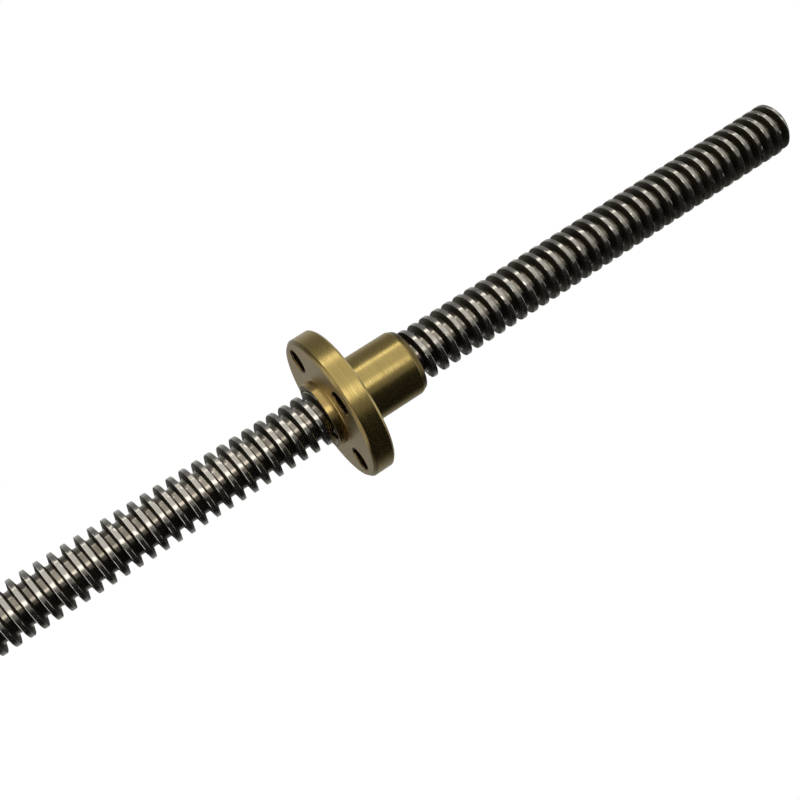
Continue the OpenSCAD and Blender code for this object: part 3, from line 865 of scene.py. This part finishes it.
def bell_finish():
    """Cast aluminium with turned faces and rubbed outer edges."""
    t = Tree("bell_aluminium")
    r = t.radius()
    turned = t.ramp(t.level(), 0.9, 0.97)
    rings = t.rings(5.0, 4, 0.6)
    grain = t.noise(2.2, 6, 0.65)
    pores = t.ramp(t.noise(0.9, 3, 0.6), 0.30, 0.38)
    blotch = t.noise(0.11, 4, 0.6)
    cast = t.mix(blotch, (0.40, 0.405, 0.41), (0.58, 0.585, 0.59))
    cast = t.mix(t.times(pores, 0.8), (0.20, 0.20, 0.205), cast)
    cut = t.mix(rings, (0.56, 0.565, 0.57), (0.74, 0.745, 0.75))
    colour = t.mix(turned, cast, cut)
    across, along = t.absolute(t.x), t.absolute(t.y)
    side = t.minus(HALF_W, t.most(across, along))
    corner = t.minus(CORNER_FLAT, t.times(t.plus(across, along), math.sqrt(0.5)))
    upright_edge = t.ramp(t.most(side, corner), 0.42, 0.12)
    front_end = t.ramp(t.z, FACE_Z - 0.55, FACE_Z - 0.1)
    rear_end = t.ramp(t.z, REAR_FACE_Z + 0.7, REAR_FACE_Z + 0.1)
    rim = t.times(t.most(front_end, rear_end), t.ramp(t.least(side, corner), 0.65, 0.3))
    pilot = t.ramp(t.z, PILOT_H - 0.45, PILOT_H - 0.2)
    pilot = t.times(pilot, t.ramp(r, PILOT_R - 0.5, PILOT_R - 0.2))
    edge = t.most(t.most(upright_edge, rim), pilot)
    rubbed = t.times(edge, t.ramp(t.noise(0.7, 5, 0.7), 0.4, 0.62, 0.1, 0.6))
    colour = t.mix(rubbed, colour, (0.82, 0.82, 0.82))
    cast_rough = t.mix(grain, (0.42,) * 3, (0.62,) * 3)
    cut_rough = t.mix(rings, (0.24,) * 3, (0.38,) * 3)
    cast_height = t.mix(0.6, t.grey(grain), t.grey(pores))
    height = t.mix(turned, cast_height, t.grey(rings))
    return t.finish(colour, t.mix(turned, cast_rough, cut_rough), 1.0, t.bump(height, 0.02))


def sheet_finish():
    """Varnished sheet edges, each a little lighter or darker than its neighbours."""
    t = Tree("lamination_steel")
    layer = t.noise(1.0, 2, 0.5, at=t.combine(0.0, 0.0, t.times(t.z, 4.0)))
    stain = t.noise(0.14, 5, 0.6)
    scratch = t.drawn(5, 0.7, (0.6, 0.6, 7.0))
    colour = t.mix(layer, (0.045, 0.045, 0.048), (0.105, 0.104, 0.106))
    colour = t.mix(t.ramp(stain, 0.45, 0.7), colour, (0.13, 0.12, 0.11))
    colour = t.mix(t.times(t.worn(), 0.5), colour, (0.24, 0.235, 0.23))
    rough = t.ramp(scratch, 0.25, 0.75, 0.34, 0.56)
    bump = t.bump(scratch, 0.01)
    return t.finish(colour, rough, 0.75, bump, Coat_Weight=0.35, Coat_Roughness=0.35)


def moulded_finish(name, light, dark, rough):
    """Moulded plastic with a fine spark-eroded skin, flow marks and slightly rubbed edges."""
    t = Tree(name)
    skin, flow = t.noise(3.5, 5, 0.6), t.noise(0.18, 4, 0.65)
    colour = t.mix(t.ramp(flow, 0.3, 0.7), dark, light)
    colour = t.mix(t.times(t.worn(), 0.3), colour, lighter(light, 1.25))
    gloss = t.ramp(skin, 0.3, 0.7, rough - 0.07, rough + 0.08)
    bump = t.bump(skin, 0.012)
    return t.finish(colour, gloss, 0.0, bump, Subsurface_Weight=0.05, Subsurface_Scale=0.0005)


def metal_finish(name, light, dark, rough, depth=0.005, turned=True):
    """Turned or plated metal with fine marks, stains and bright edges."""
    t = Tree(name)
    marks = t.rings(8.0, 5, 0.65) if turned else t.noise(2.5, 6, 0.65)
    stain = t.noise(0.25, 4, 0.6)
    colour = t.mix(t.ramp(stain, 0.3, 0.7), dark, light)
    colour = t.mix(t.times(t.worn(), 0.4), colour, lighter(light, 1.3))
    gloss = t.ramp(marks, 0.25, 0.75, rough - 0.06, rough + 0.08)
    gloss = t.plus(gloss, t.ramp(stain, 0.4, 0.7, 0.0, 0.06))
    return t.finish(colour, gloss, 1.0, t.bump(marks, depth))


def wire_finish(name, light, dark):
    """Enamelled wire wound round each pole: close turns, a little uneven, with painted shade in the grooves
    between them.
    """
    t = Tree(name)
    wire_gap = 0.32
    wobble = t.times(t.noise(0.8, 3, 0.6), 1.3)
    phase = t.plus(t.times(t.radius(), TAU / wire_gap), wobble)
    turns = t.plus(t.times(t.math("SINE", phase), 0.5), 0.5)
    shade = t.noise(0.5, 3, 0.6)
    # painted shade: the colour darkens in the grooves between the turns
    colour = t.mix(t.times(turns, t.ramp(shade, 0.2, 0.8, 0.6, 1.0)), dark, light)
    gloss = t.ramp(shade, 0.3, 0.7, 0.22, 0.36)
    bump = t.bump(turns, 0.08)
    return t.finish(colour, gloss, 0.85, bump, Coat_Weight=0.6, Coat_Roughness=0.12)


def board_finish():
    """Green coated board with its glass weave just showing."""
    t = Tree("board_laminate")
    weave_gap = 0.5
    weave_x, weave_y = (t.math("SINE", t.times(axis, TAU / weave_gap)) for axis in (t.x, t.y))
    weave = t.plus(t.times(t.times(weave_x, weave_y), 0.5), 0.5)
    tone = t.noise(0.3, 4, 0.6)
    colour = t.mix(tone, (0.012, 0.085, 0.03), (0.03, 0.16, 0.06))
    colour = t.mix(t.times(weave, 0.25), colour, (0.05, 0.24, 0.10))
    gloss = t.ramp(tone, 0.3, 0.7, 0.24, 0.38)
    bump = t.bump(weave, 0.01)
    return t.finish(colour, gloss, 0.0, bump, Coat_Weight=0.5, Coat_Roughness=0.15)


def film_finish():
    """Blank satin film with a few rubbed marks."""
    t = Tree("label_film")
    rub = t.drawn(5, 0.7, (1.0, 0.5, 3.0))
    tone = t.noise(0.3, 4, 0.6)
    colour = t.mix(t.ramp(tone, 0.3, 0.7), (0.60, 0.60, 0.59), (0.66, 0.66, 0.65))
    colour = t.mix(t.ramp(rub, 0.62, 0.75, 0.0, 0.2), colour, (0.42, 0.42, 0.42))
    return t.finish(colour, t.ramp(rub, 0.3, 0.7, 0.3, 0.48), 0.25, t.bump(rub, 0.006))


FINISHES = {
    "bell_aluminium": bell_finish(),
    "lamination_steel": sheet_finish(),
    "insulator_plastic": moulded_finish(
        "insulator_plastic", (0.76, 0.73, 0.62), (0.66, 0.62, 0.50), 0.5
    ),
    "phase_a_wire": wire_finish("phase_a_wire", (0.62, 0.24, 0.08), (0.20, 0.06, 0.02)),
    "phase_b_wire": wire_finish("phase_b_wire", (0.74, 0.36, 0.13), (0.26, 0.10, 0.03)),
    "tinned_metal": metal_finish(
        "tinned_metal", (0.74, 0.72, 0.66), (0.60, 0.58, 0.52), 0.26, turned=False
    ),
    "board_laminate": board_finish(),
    "socket_plastic": moulded_finish(
        "socket_plastic", (0.66, 0.64, 0.57), (0.58, 0.56, 0.49), 0.42
    ),
    "bolt_steel": metal_finish(
        "bolt_steel", (0.50, 0.50, 0.49), (0.36, 0.355, 0.34), 0.3, turned=False
    ),
    "label_film": film_finish(),
    "spring_steel": metal_finish("spring_steel", (0.52, 0.52, 0.53), (0.42, 0.41, 0.41), 0.26),
    "bearing_steel": metal_finish("bearing_steel", (0.66, 0.66, 0.67), (0.58, 0.58, 0.58), 0.16),
    "ball_steel": metal_finish(
        "ball_steel", (0.76, 0.76, 0.77), (0.70, 0.70, 0.70), 0.08, depth=0.001, turned=False
    ),
    "cage_plastic": moulded_finish("cage_plastic", (0.30, 0.17, 0.07), (0.22, 0.12, 0.05), 0.5),
    "rotor_steel": metal_finish("rotor_steel", (0.44, 0.45, 0.46), (0.32, 0.325, 0.335), 0.32),
    "magnet_alloy": metal_finish(
        "magnet_alloy", (0.17, 0.17, 0.18), (0.11, 0.11, 0.115), 0.55, depth=0.02, turned=False
    ),
    "spacer_metal": metal_finish("spacer_metal", (0.72, 0.72, 0.73), (0.62, 0.62, 0.62), 0.28),
    "screw_steel": screw_finish(),
    "nut_brass": brass_finish(),
}


# ---------------------------------------------------------------- pieces
def dress(obj, slot):
    obj.data.materials.clear()
    obj.data.materials.append(FINISHES[slot])


def piece(obj, name, body, slot, *nodes):
    """Puts a built mesh in the frame in place of its CAD nodes."""
    flatten(obj)
    obj.name = name
    obj.data.name = name
    dress(obj, slot)
    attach(obj, body)
    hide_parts(*nodes)


piece(build_screw(), "threaded_screw", "rotor", "screw_steel", "lead_screw")
piece(build_nut(), "turned_nut", "nut", "nut_brass", "lead_nut")
piece(build_front_bell(), "front_bell", "motor", "bell_aluminium", "front_end_bell")
piece(build_rear_bell(), "rear_bell", "motor", "bell_aluminium", "rear_end_bell")
piece(build_stator(), "stator_sheets", "motor", "lamination_steel", "stator_core")
piece(build_bolts(), "long_screws", "motor", "bolt_steel", "motor_bolts")
piece(build_label(), "blank_label", "motor", "label_film", "rating_label")

COPIES = (
    ("connector_housing", "socket", "motor", "socket_plastic", 0.15),
    ("connector_pins", "socket_pins", "motor", "tinned_metal", 0.06),
    ("front_bearing_outer", "front_outer_ring", "motor", "bearing_steel", 0.12),
    ("front_bearing_inner", "front_inner_ring", "rotor", "bearing_steel", 0.12),
    ("rear_bearing_outer", "rear_outer_ring", "motor", "bearing_steel", 0.12),
    ("rear_bearing_inner", "rear_inner_ring", "rotor", "bearing_steel", 0.12),
    ("front_bobbin", "front_insulator", "motor", "insulator_plastic", 0.08),
    ("rear_bobbin", "rear_insulator", "motor", "insulator_plastic", 0.08),
    ("terminal_board", "board", "motor", "board_laminate", 0.05),
    ("front_spacer", "front_sleeve", "rotor", "spacer_metal", 0.12),
    ("rear_spacer", "rear_sleeve", "rotor", "spacer_metal", 0.12),
)
for node, name, body, slot, width in COPIES:
    piece(node_copy(node, name, width), name, body, slot, node)

KEPT = {
    "phase_a_coils": "phase_a_wire",
    "phase_b_coils": "phase_b_wire",
    "winding_terminals": "tinned_metal",
    "wave_washer": "spring_steel",
    "front_bearing_balls": "ball_steel",
    "front_bearing_cage": "cage_plastic",
    "front_bearing_shields": "spring_steel",
    "rear_bearing_balls": "ball_steel",
    "rear_bearing_cage": "cage_plastic",
    "rear_bearing_shields": "spring_steel",
    "rotor_cup_front": "rotor_steel",
    "rotor_cup_rear": "rotor_steel",
    "rotor_magnet": "magnet_alloy",
}
for node, slot in KEPT.items():
    cad = frame["nodes"][node]
    if not cad.material_slots:
        cad.data.materials.append(FINISHES[slot])
    for place in cad.material_slots:
        place.material = FINISHES[slot]


# ---------------------------------------------------------------- stage, light and camera
ROOM_DARK = 0.006
# direction, cosines where the grey starts and is full, and its level
ROOM_SIDES = (
    ((0.0, 1.0, 0.0), 0.30, 1.0, 0.36),
    ((-1.0, 0.0, 0.0), -0.1, 0.45, 0.21),
    ((0.0, 0.0, -1.0), 0.5, 1.0, 0.05),
    ((0.0, 0.0, 1.0), 0.72, 0.95, 0.75),
)

WARM = (1.0, 0.975, 0.92)
PANEL_AWAY, STRIP_AWAY = 0.5, 0.48
# name, distance in metres, azimuth and width in degrees, lower and upper end in metres, radiance
SOFTBOXES = (
    ("panel_low", PANEL_AWAY, 33.0, 74.0, -0.30, 0.34, 0.67),
    ("panel_top", PANEL_AWAY, 33.0, 74.0, 0.34, 0.60, 0.46),
    ("strip_high_foot", STRIP_AWAY, 77.0, 9.0, 0.0, 0.15, 1.7),
    ("strip_high", STRIP_AWAY, 63.0, 9.0, 0.15, 0.44, 1.7),
    ("strip_high_top", STRIP_AWAY, 63.0, 9.0, 0.44, 0.62, 1.0),
    ("strip_front", STRIP_AWAY, 4.5, 16.0, -0.30, 0.27, 1.7),
    ("spill_low", PANEL_AWAY, -16.0, 24.0, -0.30, 0.27, 0.20),
    ("spill_top", PANEL_AWAY, -16.0, 24.0, 0.27, 0.62, 0.27),
)
SUN_STRENGTH, SUN_WIDTH = 0.85, math.radians(110)

LENS, SENSOR = 56.61, 36.0
CAMERA_AT, CAMERA_AIM = (0.0, -0.169755, 0.079744), (0.004114, 0.0, 0.125862)
CAMERA_ROLL = math.radians(57.04)


def floor():
    """Pale floor that the motor stands on. Only the part by the motor shows in metal."""
    t = Tree("floor_paint")
    paint = t.mix(t.noise(0.01, 3, 0.6), (0.86, 0.86, 0.86), (0.89, 0.89, 0.89))
    t.finish(paint, 0.85, 0.0, t.bump(t.noise(0.4, 4, 0.6), 0.03))
    sides = 64
    turns = [TAU * i / sides for i in range(sides)]
    for name, radius, drop in (("floor_near", 0.14, 0.0), ("floor_far", 4.0, 0.05)):
        height = (REAR_FACE_Z - drop) * MM
        ring = [(radius * math.cos(turn), radius * math.sin(turn), height) for turn in turns]
        mesh = bpy.data.meshes.new(name)
        mesh.from_pydata(ring, [], [list(range(sides))])
        mesh.materials.append(t.mat)
        obj = bpy.data.objects.new(name, mesh)
        bpy.context.scene.collection.objects.link(obj)
        obj.visible_glossy = not drop


def softbox(name, distance, azimuth, spread, low, high, radiance):
    """Upright panel facing the screw, with its azimuth counted from -Y toward -X."""
    middle = math.radians(azimuth)
    where = Vector((-distance * math.sin(middle), -distance * math.cos(middle), (low + high) / 2))
    width, height = 2 * distance * math.tan(math.radians(spread / 2)), high - low
    data = bpy.data.lights.new(name, "AREA")
    data.shape, data.size, data.size_y = "RECTANGLE", width, height
    data.energy, data.color = radiance * math.pi * width * height, WARM
    obj = bpy.data.objects.new(name, data)
    bpy.context.scene.collection.objects.link(obj)
    obj.location = where
    obj.rotation_euler = Vector((-where.x, -where.y, 0.0)).to_track_quat("-Z", "Y").to_euler()
    obj.visible_camera = False


def world():
    """White to the camera and to matt surfaces. Metal sees a dark room with two dim grey sides."""
    made = bpy.data.worlds.new("room")
    bpy.context.scene.world = made
    made.use_nodes = True
    nodes, links = made.node_tree.nodes, made.node_tree.links
    background = nodes["Background"]
    path = nodes.new("ShaderNodeLightPath")
    coords = nodes.new("ShaderNodeTexCoord")
    total = ROOM_DARK
    for side, low, high, level in ROOM_SIDES:
        toward = nodes.new("ShaderNodeVectorMath")
        toward.operation = "DOT_PRODUCT"
        toward.inputs[1].default_value = side
        links.new(coords.outputs["Generated"], toward.inputs[0])
        grey = nodes.new("ShaderNodeMapRange")
        grey.interpolation_type = "SMOOTHSTEP"
        for socket, number in zip(grey.inputs[1:5], (low, high, 0.0, level)):
            socket.default_value = number
        links.new(toward.outputs["Value"], grey.inputs[0])
        both = nodes.new("ShaderNodeMath")
        both.operation = "ADD"
        links.new(grey.outputs[0], both.inputs[0])
        if isinstance(total, float):
            both.inputs[1].default_value = total
        else:
            links.new(total, both.inputs[1])
        total = both.outputs[0]
    blend = nodes.new("ShaderNodeMix")
    blend.data_type = "RGBA"
    links.new(path.outputs["Is Glossy Ray"], blend.inputs["Factor"])
    blend.inputs[6].default_value = (1.0, 1.0, 1.0, 1.0)
    links.new(total, blend.inputs[7])
    links.new(blend.outputs[2], background.inputs["Color"])
    background.inputs["Strength"].default_value = 1.0


floor()
world()
for box in SOFTBOXES:
    softbox(*box)
sun = bpy.data.objects.new("overhead", bpy.data.lights.new("overhead", "SUN"))
sun.data.energy, sun.data.angle = SUN_STRENGTH, SUN_WIDTH
sun.visible_glossy = False
bpy.context.scene.collection.objects.link(sun)

camera = bpy.data.objects.new("camera", bpy.data.cameras.new("camera"))
bpy.context.scene.collection.objects.link(camera)
camera.data.lens, camera.data.sensor_width = LENS, SENSOR
camera.data.clip_start, camera.data.clip_end = 0.01, 50.0
camera.location = CAMERA_AT
aim = (Vector(CAMERA_AIM) - camera.location).to_track_quat("-Z", "Y")
roll = Matrix.Rotation(CAMERA_ROLL, 4, "Z")
camera.rotation_euler = (aim.to_matrix().to_4x4() @ roll).to_euler()
bpy.context.scene.camera = camera
bpy.context.scene.view_settings.view_transform = "Standard"
